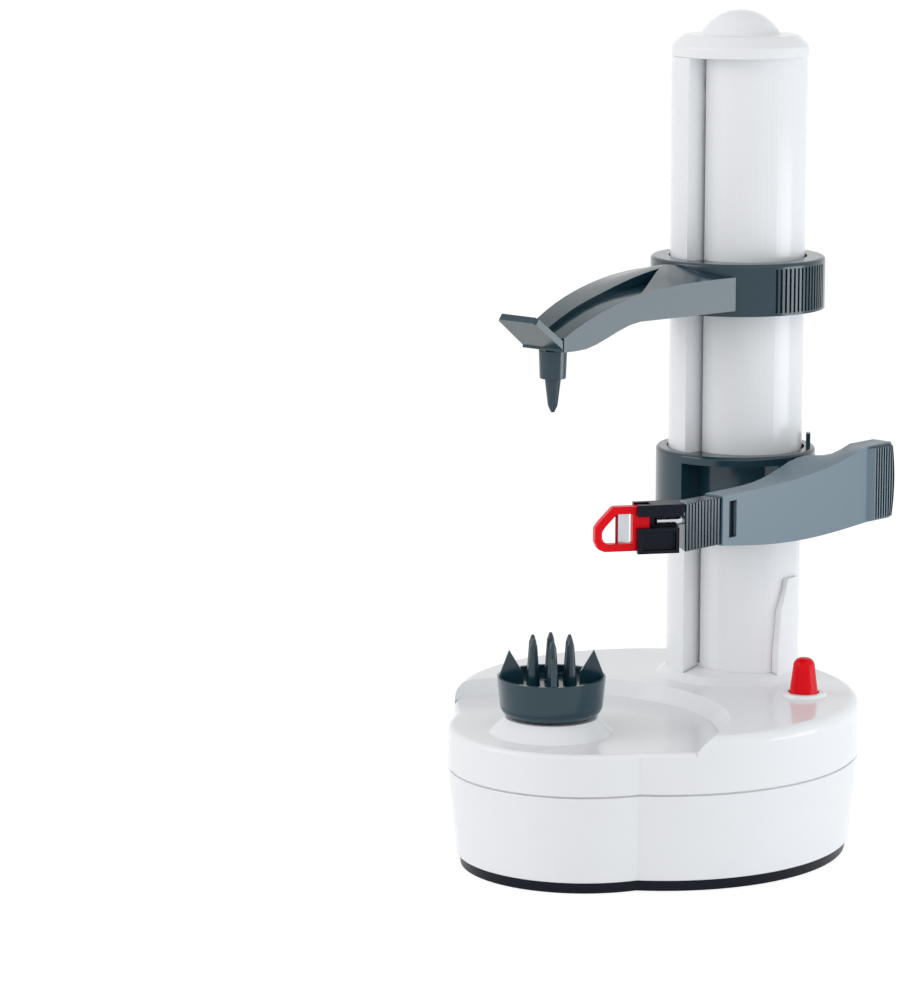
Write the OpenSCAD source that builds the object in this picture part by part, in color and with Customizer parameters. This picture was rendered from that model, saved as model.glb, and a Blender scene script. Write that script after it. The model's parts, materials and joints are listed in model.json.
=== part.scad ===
// Electric tower peeler for fruit and vegetables.
// The column stands on the Z axis and the spindle is in front of it, towards -Y.
// The table is the plane Z = 0.

/* [Base] */
// Radius of the main disc of the base
disc_r = 73.5; // [72.5:0.5:78]
// Distance from the column axis to the back of the base
base_back = 30; // [29:0.25:32]
// Radius of the lobe under the spindle
lobe_r = 47.5; // [46:0.5:49]
// How far the centre of the lobe lies behind the spindle
lobe_in = 16; // [14:0.5:18]
// Height of the black sole
sole_h = 4; // [3.5:0.5:5]
// How far the sole stands back from the white wall
sole_inset = 1; // [0.5:0.5:2]
// Height of the parting line between the two housings
seam_h = 35; // [33:0.5:37]
// Height of the deck around the column
deck_h = 56; // [55.5:0.5:60]
// How far the tray lies below the deck
tray_depth = 5.5; // [4:0.5:6.5]
// Radius of the tray around the spindle
tray_r = 59; // [56:0.5:62]
// How far the tray wall leans out from its foot to the deck
tray_lean = 4; // [2:0.5:6]
// Wall thickness of the housings
wall = 2.5; // [2:0.25:3]
// How far the lower wall leans in from the parting line to the sole
lean = 3; // [1:0.5:4]
// Radius of the deck's rounded edge
edge_r = 4; // [2:0.5:5]
// Radius of the tray's rounded edge
tray_edge_r = 2; // [1:0.25:2.25]
// Radius of the rubber pads in the sole
pad_r = 7; // [5:0.5:8]

/* [Spindle] */
// Distance from the column axis to the spindle axis
spindle_off = 100; // [98:0.5:102]
// Radius of the spindle shaft
spindle_r = 4; // [3:0.5:5]
// Foot radius of the pedestal under the cup
pedestal_r = 22; // [20:0.5:24]
// Top radius of the pedestal
pedestal_top_r = 16.5; // [15:0.5:18]
// Height of the pedestal above the tray
pedestal_h = 5.5; // [4.5:0.5:7]
// Outer radius of the cup
cup_r = 19.2; // [18:0.2:20.4]
// Height of the cup from its underside to its rim
cup_h = 14; // [12.5:0.5:15.5]
// Depth of the dish in the cup
dish_depth = 3; // [2:0.5:4]
// Height of the four fins above the rim
fin_h = 9.4; // [7:0.2:11]
// Thickness of the fins
fin_t = 2; // [1.5:0.25:3]
// Number of prongs in the cup
prongs = 6; // [4:1:8]
// Radius of the ring of prongs
prong_ring_r = 7.5; // [6:0.5:8.5]
// Root radius of a prong
prong_r = 2.4; // [1.8:0.1:2.6]
// Height of a prong above the dish
prong_h = 17; // [12:0.5:20]

/* [Column] */
// Outer radius of the column
col_r = 24.7; // [24:0.1:25.5]
// Wall thickness of the column
col_wall = 2.2; // [1.8:0.1:2.6]
// Radius of the core that shows in the recess, off the axis of the column
core_r = 20.6; // [20.2:0.1:20.9]
// Height of the top of the column
col_top = 283.5; // [276:0.5:290]
// Width of the guide slot in the core
slot_w = 1.6; // [1.4:0.1:2]
// Height of the sloped foot on the deck
foot_h = 2.5; // [2:0.5:4]
// How far the foot spreads beyond the column
foot_spread = 3.6; // [2.5:0.1:3.7]
// Height of the cap up to its flat top
cap_band = 7.7; // [6.5:0.1:9]
// Height of the slope around the cap
cap_slope_h = 3.9; // [3:0.1:5]
// Width of the slope around the cap
cap_slope_w = 4.2; // [3:0.1:5.5]
// Height of the dome on the cap
dome_h = 8.8; // [7:0.1:10]
// Radius of the dome at its foot
dome_r = 14.4; // [13:0.1:16]
// Height of the top of the stop cam beside the recess
cam_top = 94; // [88:0.5:98]
// Radius of the lead screw
screw_r = 4; // [3:0.25:5]

/* [Rings] */
// Running gap between the rings and the column
ring_gap = 0.5; // [0.4:0.05:0.8]
// Radial thickness of the carriage ring
ring_t = 4; // [3.5:0.1:4.5]
// Radial thickness of the holder ring
holder_t = 6.6; // [6:0.1:7.2]
// Height of the underside of the carriage ring
carriage_z = 114; // [112:0.5:116]
// Height of the carriage ring
carriage_h = 27; // [26:0.5:29]
// Height of the underside of the holder ring
holder_z = 192.5; // [190:0.5:196]
// Height of the holder ring
holder_h = 18.7; // [17:0.1:20]
// Number of grooves in each release grip
grip_ridges = 15; // [11:1:17]

/* [Holder arm] */
// Width of the arm at its tip
arm_w = 19.4; // [18:0.2:21]
// Width of the arm where it meets the ring
arm_root_w = 40; // [37:0.5:43]
// How far the arm's back lies below the top of the ring
arm_shoulder = 4.4; // [3.4:0.2:5.4]
// Drop of the arm's back from the ring to the tip
arm_drop = 15; // [13.5:0.5:16]
// Drop of the arm's underside from the ring to the tip
belly_drop = 7.8; // [7:0.2:8.6]
// Length of the thumb tab beyond the tip
tab_len = 18.6; // [16:0.2:21]
// Radius of the pin's collar
collar_r = 5; // [4.5:0.1:5.5]
// Height of the pin's collar
collar_h = 10; // [8.5:0.5:10.5]
// Radius of the pin that holds the food
pin_r = 2.9; // [2.5:0.1:3.3]
// Length of the pin below its collar
pin_len = 12; // [10:0.5:14]

/* [Peeling lever] */
// Distance from the column axis to the lever's pivot
pivot_x = 36; // [36:0.25:37.5]
// Distance from the pivot axis to the lever's inner face
lever_in = 6; // [5.75:0.25:7]
// Thickness of the lever
lever_t = 8; // [7:0.25:9]
// Length of the lever in front of its pivot
lever_front = 69; // [66:0.5:72]
// Length of the lever behind its pivot
lever_back = 27; // [25:0.5:29]
// Height of the lever at its front end
lever_front_h = 17.6; // [17:0.2:19]
// Height of the lever at its thumb pad
lever_back_h = 28; // [25:0.5:30]
// Length of the ridged thumb pad
thumb_len = 15; // [12:0.5:16]
// Length of the blade lock in front of the lever
lock_len = 20; // [17:0.5:22]
// Height of the blade lock
lock_h = 16.5; // [15:0.25:16.75]
// Number of ridges on the blade lock
lock_ridges = 12; // [9:1:13]
// Angle between the blade head and the lever
head_angle = 35; // [25:1:40]
// Length of the blade head
head_len = 31; // [29:0.5:34]
// Height of the blade head
head_h = 17; // [16:0.5:18]

/* [Button] */
// Distance of the button from the side of the base
button_in = 29; // [27:0.5:31]
// Distance of the button in front of the column axis
button_y = 13.5; // [12:0.5:15]
// Radius of the button where it leaves the deck
button_r = 5.3; // [4.8:0.1:5.8]
// Height of the button above the deck
button_h = 14; // [12:0.5:15]
// Travel of the button
button_travel = 2.5; // [1.5:0.25:3]

/* [Drive] */
// Teeth of the screw gear and of the spindle gear
end_teeth = 40; // [38:2:42]
// Teeth of the idler between them
idler_teeth = 60; // [58:2:62]
// Teeth of the two pinions
pinion_teeth = 14; // [13:1:15]
// Teeth of the large wheel that the motor drives
wheel_teeth = 56; // [52:1:58]
// Tooth module of the motor stage
motor_mod = 0.6; // [0.56:0.01:0.62]
// Face width of the gears
gear_t = 5; // [4:0.5:5.5]
// Gap between the gears and the roof of the tray
gear_roof = 5; // [4:0.5:6]
// Thickness of the gear frame
frame_t = 2.5; // [2:0.25:3]
// Radius of the motor
motor_r = 10; // [9:0.25:11]
// Radius of a battery cell
cell_r = 7.1; // [6.9:0.05:7.25]
// Length of a battery cell
cell_len = 49.5; // [46:0.5:50.5]

/* [Hidden] */
$fn = 72;

// Colours
white = [0.93, 0.94, 0.95];
slate = [0.14, 0.18, 0.20];
grey = [0.40, 0.46, 0.50];
black = [0.05, 0.05, 0.06];
red = [0.80, 0.05, 0.07];
steel = [0.70, 0.71, 0.73];
brass_c = [0.78, 0.62, 0.30];
nylon = [0.88, 0.87, 0.82];

// Clearances: run is a running fit, free keeps moving pieces apart, slack eases assembly
run = 0.05;
free = 0.4;
slack = 0.15;
eps = 0.5;

// Places of the base's disc, lobe and button
disc_off = disc_r - base_back;
lobe_off = spindle_off - lobe_in;
button_x = disc_r - button_in;

// Levels of the base
tray_h = deck_h - tray_depth;
tray_roof = tray_h - wall;
deck_roof = deck_h - wall;
foot_top = deck_h + foot_h;
cup_gap = 0.6;
cup_z = tray_h + pedestal_h + cup_gap;
rim_z = cup_z + cup_h;
dish_z = rim_z - dish_depth;

// Gear train: the four axes and the gear sizes
gear_mod = spindle_off / (end_teeth + idler_teeth);
idler_y = -gear_mod * (end_teeth + idler_teeth) / 2;
reduction_x = gear_mod * (idler_teeth + pinion_teeth) / 2;
motor_arm = motor_mod * (wheel_teeth + pinion_teeth) / 2;
motor_turn = 68;
motor_pos = [reduction_x + motor_arm * cos(motor_turn), idler_y + motor_arm * sin(motor_turn)];
stage_gap = 2.5;
wheel_lift = 2;
gear_top = tray_roof - gear_roof;
gear_z = gear_top - gear_t;
wheel_z = gear_z - gear_t - stage_gap;
frame_z = wheel_z - wheel_lift;
hub_z = frame_z + 0.3;
axle_r = 2.5;
hub_r = 6;
clip_t = 0.8;
shaft_r = 1;

// Gear frame: how far its plate reaches beyond the axes, and its legs
plate_half = 28;
plate_back = 10;
plate_front = 12;
plate_side = 12;
plate_gap = 1;
leg_r = 3.2;
leg_in = 20;

// Lead screw's upper end and its bearing
screw_drop = 12;
bearing_h = 5;

// Button: a flange under the deck stops it, and its stem reaches the switch
flange_t = 2;
flange_z = deck_roof - free - flange_t;
stem_z = flange_z - 4.1;
switch_top = stem_z - button_travel - 0.6;

// Rings
ring_in = col_r + ring_gap;
ring_out = ring_in + ring_t;
holder_out = ring_in + holder_t;
grip_turn = 26;

// Column: the core lies off the axis and nearly touches the outer radius at one turn; the recess beside it
// has a wall on the left, a ledge below and a lip with a wavy edge on the right
core_turn = 60;
core_skin = 0.1;
core_off = col_r - core_skin - core_r;
core_at = [core_off * cos(core_turn), core_off * sin(core_turn)];
core_in = core_r - col_wall;
neck_r = core_r - 2;
recess_x = -3.5;
ledge_h = 1.5;
cam_reach = 3.6;
lip_end = 8;

// Web of the carriage, through the slot in the corner of the recess
web_gap = 0.3;
web_x = recess_x + slot_w / 2;
web_y = core_at[1] - sqrt(pow(core_r + free, 2) - pow(web_x - core_at[0], 2));
key_skin = 2;
key_end = 0.6;
key_h = 16;
key_z = carriage_z + 2;
web_t = slot_w - 2 * web_gap;
nut_r = 8;

// Lever, lock and blade head
lever_mid = carriage_z + 14;
pivot_y = 2;
lever_x = pivot_x + lever_in;
ear_r = lever_in - 1;
ear_t = 3;
ear_low = lever_mid - 11.5;
ear_high = lever_mid + 8;
pin_pivot_r = 2;
hub_low = lever_mid - 3.6;
hub_high = ear_high - free;
lock_x = lever_x + lever_t / 2;
lever_end = pivot_y - lever_front;
lock_end = lever_end - lock_len;
swivel_z = 2.2;
swivel_r = 1.5;
swivel_in = 2.8;
swivel_out = 9;
lever_raise = 4.6;
lever_drop = 2.6;
lever_sag = 2.6;
lever_rise = lever_back_h - lever_front_h - lever_drop;
lever_skin = 1.8;
lever_slot_y = 3.5;
lever_slot_w = 4;
lock_step = 3.5;
tongue_len = 10;
pad_out = 2;
thumb_ridges = 8;

// Holder arm
holder_top = holder_z + holder_h;
arm_lift = 2.2;
arm_root = ring_in;
arm_end = spindle_off + 5;
tip_z = holder_z + arm_lift - belly_drop;
channel_d = 1.8;
channel_rim = 1.4;
channel_in = 1.5;
channel_far = 58;
channel_near = 31.5;
tab_turn = 36.7;
tab_t = 2.4;
tab_taper = 1.7;
spigot_r = 2.5;
spigot_top = tip_z + 2.8;

// Battery bay
cells = 4;
cell_pitch = 2 * cell_r + 0.6;
bay_w = cells * cell_pitch + 1;
bay_l = cell_len + 7;
bay_x = -9;
bay_y = -63;
bay_t = 1.5;
door_t = 2.6;
door_z = 0.3;
cell_z = door_z + door_t + 0.2 + cell_r;

// Screws that hold the base together: each has a place and the roof that its boss reaches
boss_ring = disc_r - 12.3;
back_turn = 25;
front_turn = 37;
screw_back = [boss_ring * cos(back_turn), boss_ring * sin(back_turn) - disc_off];
screw_front = [boss_ring * cos(front_turn), -boss_ring * sin(front_turn) - disc_off];
screw_sites = [
  [screw_back[0], screw_back[1], deck_roof], [-screw_back[0], screw_back[1], deck_roof],
  [screw_front[0], screw_front[1], tray_roof], [-screw_front[0], screw_front[1], tray_roof]
];
pad_ring = disc_r - 18;
pad_turn = 55;
pad_back = [pad_ring * cos(pad_turn), pad_ring * sin(pad_turn) - disc_off];
pad_lobe = lobe_r - 14;
lobe_turn = 42;
pad_front = [pad_lobe * cos(lobe_turn), -pad_lobe * sin(lobe_turn) - lobe_off];
pad_t = 1.6;
boss_out = 4;
shank_r = 1.4;
head_r = 2.8;
head_z = 0.8;
screw_head_t = 1.6;

// Shadow gap along the parting line of the base
seam_gap = 0.7;
seam_in = 1;

// Lean of the base wall at a height, measured inwards from the parting line
function lean_at(z) = lean * (seam_h - z) / (seam_h - sole_h);

// Points of a quarter round from the side of a profile to its top
function quarter(cx, cz, r, n = 6) = [for (i = [0:n]) [cx + r * cos(90 * i / n), cz + r * sin(90 * i / n)]];

// One tooth of a gear as four points, with room for backlash
function tooth(teeth, m, k) =
  let (a = 360 * k / teeth,
       rp = m * teeth / 2,
       root = rp - 1.15 * m,
       tip = rp + 0.75 * m,
       wide = 360 / teeth * 0.31,
       narrow = 360 / teeth * 0.115)
  [[root * cos(a - wide), root * sin(a - wide)], [tip * cos(a - narrow), tip * sin(a - narrow)],
   [tip * cos(a + narrow), tip * sin(a + narrow)], [root * cos(a + wide), root * sin(a + wide)]];

module gear(teeth, m, t) {
  linear_extrude(t)
    polygon([for (k = [0:teeth - 1]) each tooth(teeth, m, k)]);
}

module tube(r_out, r_in, h) {
  difference() {
    cylinder(r = r_out, h = h);
    translate([0, 0, -eps])
      cylinder(r = r_in, h = h + 2 * eps);
  }
}

// Leaning disc and lobe of the base between two heights, set back by an inset
module base_cone(z0, z1, inset) {
  for (part = [[disc_off, disc_r], [lobe_off, lobe_r]])
    translate([0, -part[0], z0])
      cylinder(r1 = part[1] - lean_at(z0) - inset, r2 = part[1] - lean_at(z1) - inset, h = z1 - z0, $fn = 128);
}

// Upright disc from the parting line to a height, with a rounded upper edge
module crowned_disc(r, off, top, round_r) {
  translate([0, -off, 0])
    rotate_extrude($fn = 128)
      polygon(concat([[0, seam_h], [r, seam_h]], quarter(r - round_r, top - round_r, round_r), [[0, top]]));
}

// Moves to the spindle axis
module at_spindle() {
  translate([0, -spindle_off, 0])
    children();
}

// Moves to the axis of the column's core
module at_core() {
  translate([core_at[0], core_at[1], 0])
    children();
}

// Moves to each screw that holds the base together
module at_screws() {
  for (site = screw_sites)
    translate([site[0], site[1], 0])
      children();
}

// Moves to each rubber pad
module at_pads() {
  for (s = [-1, 1]) {
    translate([s * pad_back[0], pad_back[1], 0])
      children();
    translate([s * pad_front[0], pad_front[1], 0])
      children();
  }
}

module lower_housing() {
  color(white)
    difference() {
      union() {
        difference() {
          base_cone(sole_h, seam_h, 0);
          base_cone(sole_h - eps, seam_h + eps, wall);
        }
        at_screws()
          translate([0, 0, sole_h])
            cylinder(r = boss_out, h = seam_h - sole_h);
        boss_ribs();
      }
      at_screws()
        cylinder(r = shank_r + slack, h = seam_h + eps);
    }
}

// Rib from each boss to the wall, away from the centre of the disc
module boss_ribs() {
  rib_t = 3;
  intersection() {
    base_cone(sole_h, seam_h, wall / 2);
    for (site = screw_sites)
      translate([site[0], site[1], sole_h])
        rotate([0, 0, atan2(site[1] + disc_off, site[0])])
          translate([0, -rib_t / 2, 0])
            cube([disc_r, rib_t, seam_h - sole_h]);
  }
}

// Hollow under the tray and under the deck
module upper_hollow() {
  translate([0, -disc_off, seam_h - eps])
    cylinder(r = disc_r - wall, h = tray_roof - seam_h + eps, $fn = 128);
  translate([0, -lobe_off, seam_h - eps])
    cylinder(r = lobe_r - wall, h = tray_roof - seam_h + eps, $fn = 128);
  difference() {
    translate([0, -disc_off, seam_h])
      cylinder(r = disc_r - edge_r, h = deck_roof - seam_h, $fn = 128);
    at_spindle()
      cylinder(r = tray_r + tray_lean + wall, h = deck_h, $fn = 128);
  }
}

// Step in the lower edge of the upper housing, which shows as a dark line
module seam_rabbet() {
  difference() {
    for (part = [[disc_off, disc_r], [lobe_off, lobe_r]])
      translate([0, -part[0], seam_h - eps])
        cylinder(r = part[1] + eps, h = seam_gap + eps, $fn = 128);
    for (part = [[disc_off, disc_r], [lobe_off, lobe_r]])
      translate([0, -part[0], seam_h - 2 * eps])
        cylinder(r = part[1] - seam_in, h = seam_gap + 3 * eps, $fn = 128);
  }
}

module upper_housing() {
  color(white)
    difference() {
      union() {
        difference() {
          union() {
            crowned_disc(disc_r, disc_off, tray_h, tray_edge_r);
            crowned_disc(lobe_r, lobe_off, tray_h, tray_edge_r);
            difference() {
              crowned_disc(disc_r, disc_off, deck_h, edge_r);
              at_spindle() {
                translate([0, 0, seam_h - eps])
                  cylinder(r = tray_r, h = tray_h - seam_h + eps, $fn = 128);
                translate([0, 0, tray_h])
                  cylinder(r1 = tray_r, r2 = tray_r + tray_lean, h = tray_depth, $fn = 128);
              }
            }
          }
          upper_hollow();
        }
        for (site = screw_sites)
          translate([site[0], site[1], seam_h])
            cylinder(r = boss_out, h = site[2] + eps - seam_h);
        at_spindle()
          translate([0, 0, tray_h - eps])
            cylinder(r1 = pedestal_r + eps, r2 = pedestal_top_r, h = pedestal_h + eps);
        translate([0, 0, deck_h - wall])
          cylinder(r = col_r, h = foot_h + wall);
        translate([0, 0, deck_h])
          cylinder(r1 = col_r + foot_spread, r2 = col_r, h = foot_h);
        translate([button_x, -button_y, deck_h - eps])
          cylinder(r1 = button_r + 3.4, r2 = button_r + 2.4, h = eps + 1.4);
      }
      at_screws()
        translate([0, 0, seam_h - eps])
          cylinder(r = shank_r, h = 11 + eps);
      at_spindle()
        translate([0, 0, tray_roof - eps])
          cylinder(r = spindle_r + 3, h = wall + pedestal_h + 2 * eps);
      at_core()
        translate([0, 0, deck_roof - eps])
          cylinder(r = neck_r + slack, h = wall + foot_h + 2 * eps);
      seam_rabbet();
      translate([button_x, -button_y, deck_roof - eps])
        cylinder(r = button_r + free, h = wall + 2 + 2 * eps);
    }
}

// Rectangle of the battery bay, grown by a margin
module bay_block(grow, z0, h) {
  translate([bay_x - bay_w / 2 - grow, bay_y - bay_l / 2 - grow, z0])
    cube([bay_w + 2 * grow, bay_l + 2 * grow, h]);
}

module sole() {
  color(black)
    difference() {
      union() {
        difference() {
          base_cone(0, sole_h, sole_inset);
          bay_block(0, -eps, sole_h + 2 * eps);
          bay_block(3, -eps, door_z + door_t + slack + eps);
        }
        difference() {
          bay_block(bay_t, sole_h - eps, cell_r + eps + 4);
          bay_block(0, 0, seam_h);
        }
      }
      at_screws()
        translate([0, 0, -eps])
          cylinder(r = head_r + slack, h = head_z + screw_head_t + eps);
      at_screws()
        cylinder(r = shank_r + slack, h = sole_h + eps);
      at_pads()
        translate([0, 0, -eps])
          cylinder(r = pad_r + slack, h = pad_t + eps);
    }
}

module rubber_pads() {
  color(black)
    at_pads()
      cylinder(r = pad_r, h = pad_t);
}

module battery_door() {
  color(black)
    difference() {
      bay_block(3 - slack, door_z, door_t);
      for (i = [0:4])
        translate([bay_x - 8, bay_y + bay_l / 2 - 2 - 3 * i, door_z - eps])
          cube([16, 1.4, eps + 0.8]);
    }
}

module housing_screws() {
  color(steel)
    at_screws() {
      translate([0, 0, head_z])
        cylinder(r = head_r, h = screw_head_t);
      translate([0, 0, head_z])
        cylinder(r = shank_r, h = seam_h + 9 - head_z);
    }
}

// Moves to each cell; every other cell is turned end for end
module at_cells() {
  for (i = [0:cells - 1])
    translate([bay_x + (i - (cells - 1) / 2) * cell_pitch, bay_y, cell_z])
      rotate([90, 0, 180 * (i % 2)])
        children();
}

module batteries() {
  color(brass_c)
    at_cells() {
      translate([0, 0, -cell_len / 2])
        cylinder(r = cell_r, h = cell_len - 1.2);
      translate([0, 0, cell_len / 2 - 1.2])
        cylinder(r = 2.7, h = 1.2);
    }
}

// Each cell has a plate with a pressed stud at one end and a plate with a pressed cone at the other
module battery_contacts() {
  plate_w = 10;
  plate_t = 0.5;
  reach = (bay_l - cell_len) / 2 - plate_t;
  color(steel)
    at_cells() {
      translate([-plate_w / 2, -plate_w / 2, bay_l / 2 - plate_t])
        cube([plate_w, plate_w, plate_t]);
      translate([0, 0, cell_len / 2])
        cylinder(r1 = 2, r2 = 3, h = reach);
      translate([-plate_w / 2, -plate_w / 2, -bay_l / 2])
        cube([plate_w, plate_w, plate_t]);
      translate([0, 0, -bay_l / 2 + plate_t])
        cylinder(r1 = 4, r2 = 2, h = reach);
    }
}

// Legs of the gear frame beside the battery bay
frame_legs = [
  [-leg_in - 4, -leg_in - 4], [leg_in + 2, -leg_in], [leg_in, -spindle_off - 8], [-leg_in, -spindle_off - 8]
];

// Plate of the gear frame: it follows the axes, and clears the wall and the bosses
module frame_plate() {
  right = motor_pos[0] + plate_side;
  front = -spindle_off - plate_front;
  difference() {
    intersection() {
      linear_extrude(frame_z)
        polygon([[-plate_half, plate_back], [plate_half, plate_back], [right, -plate_back / 2],
                 [right, idler_y - plate_back], [plate_half, front + plate_half], [plate_half, front],
                 [-plate_half, front]]);
      base_cone(frame_z - frame_t, frame_z, wall + plate_gap);
    }
    at_screws()
      cylinder(r = boss_out + plate_gap, h = seam_h);
  }
}

module gear_frame() {
  color(nylon)
    difference() {
      union() {
        frame_plate();
        for (leg = frame_legs)
          translate([leg[0], leg[1], sole_h])
            cylinder(r = leg_r, h = frame_z - sole_h - frame_t / 2);
      }
      for (p = [[0, 0], [0, -spindle_off]])
        translate([p[0], p[1], frame_z - frame_t - eps])
          cylinder(r = spindle_r + 2, h = frame_t + 2 * eps);
      for (p = [[0, idler_y], [reduction_x, idler_y]])
        translate([p[0], p[1], frame_z - frame_t - eps])
          cylinder(r = axle_r, h = frame_t + 2 * eps);
      translate([motor_pos[0], motor_pos[1], frame_z - frame_t - eps])
        cylinder(r = 3.2, h = frame_t + 2 * eps);
    }
}

module gear_axles() {
  color(steel)
    for (x = [0, reduction_x])
      translate([x, idler_y, frame_z - frame_t])
        cylinder(r = axle_r, h = gear_top + clip_t + 1.2 - frame_z + frame_t);
}

module axle_clips() {
  color(steel)
    for (x = [0, reduction_x])
      translate([x, idler_y, gear_top + 0.3])
        tube(axle_r + 2, axle_r, clip_t);
}

module motor() {
  color(steel)
    translate([motor_pos[0], motor_pos[1], 0])
      difference() {
        union() {
          intersection() {
            translate([0, 0, sole_h + 1.6])
              cylinder(r = motor_r, h = frame_z - frame_t - sole_h - 1.6);
            translate([-motor_r, -motor_r * 0.76, 0])
              cube([2 * motor_r, motor_r * 1.52, frame_z]);
          }
          translate([0, 0, sole_h])
            cylinder(r = 3.4, h = 2);
          translate([0, 0, frame_z - frame_t - eps])
            cylinder(r = 3, h = 1.5 + eps);
        }
        translate([0, 0, frame_z - frame_t - 6])
          cylinder(r = shaft_r + run, h = 10);
      }
}

module motor_shaft() {
  color(steel)
    translate([motor_pos[0], motor_pos[1], frame_z - frame_t - 5.6])
      cylinder(r = shaft_r, h = wheel_z + gear_t + 0.4 - frame_z + frame_t + 5.6);
}

module motor_pinion() {
  color(brass_c)
    translate([motor_pos[0], motor_pos[1], wheel_z])
      rotate([0, 0, motor_turn + 180 + 180 / pinion_teeth])
        difference() {
          gear(pinion_teeth, motor_mod, gear_t);
          translate([0, 0, -eps])
            cylinder(r = shaft_r, h = gear_t + 2 * eps);
        }
}

module reduction_gear() {
  color(nylon)
    translate([reduction_x, idler_y, 0])
      difference() {
        union() {
          translate([0, 0, hub_z])
            cylinder(r = hub_r - 1, h = wheel_z - hub_z + eps);
          translate([0, 0, wheel_z + 0.5])
            rotate([0, 0, motor_turn])
              gear(wheel_teeth, motor_mod, gear_t - 1);
          translate([0, 0, wheel_z + gear_t - 1])
            rotate([0, 0, 180 + 180 / pinion_teeth])
              gear(pinion_teeth, gear_mod, gear_top - wheel_z - gear_t + 1);
        }
        translate([0, 0, hub_z - eps])
          cylinder(r = axle_r + run, h = gear_top - hub_z + 2 * eps);
      }
}

// Spoked or webbed gear: a toothed rim, a thin web with round windows and a hub
module web_gear(teeth, bore, hub_low_z) {
  rp = gear_mod * teeth / 2;
  difference() {
    union() {
      translate([0, 0, gear_z])
        difference() {
          gear(teeth, gear_mod, gear_t);
          for (z = [-eps, gear_t * 0.65])
            translate([0, 0, z])
              tube(rp - 3.5, hub_r, gear_t * 0.35 + eps);
          for (k = [0:4])
            rotate([0, 0, 72 * k + 36])
              translate([(rp - 3.5 + hub_r) / 2, 0, -eps])
                cylinder(r = (rp - 3.5 - hub_r) * 0.32, h = gear_t + 2 * eps);
        }
      translate([0, 0, hub_low_z])
        cylinder(r = hub_r, h = gear_top - hub_low_z);
    }
    translate([0, 0, hub_low_z - eps])
      cylinder(r = bore, h = gear_top - hub_low_z + 2 * eps);
  }
}

module idler_gear() {
  color(nylon)
    translate([0, idler_y, 0])
      web_gear(idler_teeth, axle_r + run, hub_z);
}

module lead_screw() {
  color(steel)
    translate([0, 0, frame_z - frame_t])
      cylinder(r = screw_r, h = col_top - screw_drop - frame_z + frame_t);
}

module screw_gear() {
  color(nylon)
    rotate([0, 0, 180 / end_teeth])
      web_gear(end_teeth, screw_r, hub_z);
}

module spindle_shaft() {
  color(steel)
    at_spindle()
      translate([0, 0, frame_z - frame_t])
        cylinder(r = spindle_r, h = dish_z - 2 - frame_z + frame_t);
}

module spindle_gear() {
  color(nylon)
    at_spindle()
      rotate([0, 0, 180 / end_teeth])
        web_gear(end_teeth, spindle_r, hub_z);
}

module spindle_bush() {
  color(brass_c)
    at_spindle()
      translate([0, 0, tray_roof])
        tube(spindle_r + 3, spindle_r + run, wall + pedestal_h);
}

module frame_bushes() {
  color(brass_c) {
    translate([0, 0, frame_z - frame_t])
      tube(spindle_r + 2, screw_r + run, frame_t);
    at_spindle()
      translate([0, 0, frame_z - frame_t])
        tube(spindle_r + 2, spindle_r + run, frame_t);
  }
}

// Bowl of the cup with a dish in its top, four fins and a ring of prongs
module food_cup() {
  foot_r = cup_r - 4.6;
  side_r = cup_r - 0.9;
  turn_h = 4.5;
  color(slate)
    at_spindle() {
      difference() {
        rotate_extrude()
          polygon(concat(
            [[0, cup_z], [foot_r, cup_z]],
            [for (i = [1:6]) [foot_r + (side_r - foot_r) * sin(15 * i), cup_z + turn_h * (1 - cos(15 * i))]],
            [[cup_r, rim_z], [cup_r - 1.5, rim_z], [cup_r - 2.2, dish_z], [0, dish_z]]));
        translate([0, 0, cup_z - eps])
          cylinder(r = spindle_r, h = dish_z - 2 - cup_z + eps);
      }
      for (k = [0:3])
        rotate([0, 0, 45 + 90 * k])
          rotate([90, 0, 0])
            translate([0, 0, -fin_t / 2])
              linear_extrude(fin_t)
                polygon([[prong_ring_r + prong_r, dish_z - 1], [cup_r - 0.6, dish_z - 1], [cup_r - 0.6, rim_z],
                         [cup_r * 0.78, rim_z + fin_h], [prong_ring_r + prong_r, rim_z + 1]]);
      for (k = [0:prongs - 1])
        rotate([0, 0, 360 / prongs * (k + 0.25)])
          translate([prong_ring_r, 0, dish_z - 0.5])
            prong();
    }
}

// Mildly tapered prong with a blunt point
module prong() {
  tip_h = 2.5;
  tip_r = prong_r * 0.55;
  cylinder(r1 = prong_r, r2 = tip_r, h = prong_h + 0.5 - tip_h);
  translate([0, 0, prong_h + 0.5 - tip_h])
    cylinder(r1 = tip_r, r2 = 0.5, h = tip_h);
}

// Outline of the column's shell in plan: a half tube that ends in a wall beside the recess
module column_plan() {
  far = 2 * col_r;
  difference() {
    circle(r = col_r);
    at_core()
      circle(r = core_r + slack);
    translate([recess_x, -far])
      square([far, 2 * far]);
    difference() {
      circle(r = col_r - col_wall);
      translate([recess_x - col_wall, -far])
        square([col_wall, 2 * far]);
    }
  }
}

// Wavy edge of the lip at the lower right of the recess, seen along X
module cam_profile() {
  rise = cam_top - foot_top;
  polygon([[lip_end, foot_top], [-cam_reach, foot_top], [-cam_reach + 0.1, foot_top + rise * 0.27],
           [-cam_reach + 0.7, foot_top + rise * 0.41], [-cam_reach + 1, foot_top + rise * 0.52],
           [-cam_reach + 1.3, foot_top + rise * 0.67], [-cam_reach + 3.5, foot_top + rise * 0.85],
           [-cam_reach + 4.9, cam_top], [lip_end, cam_top]]);
}

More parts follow.
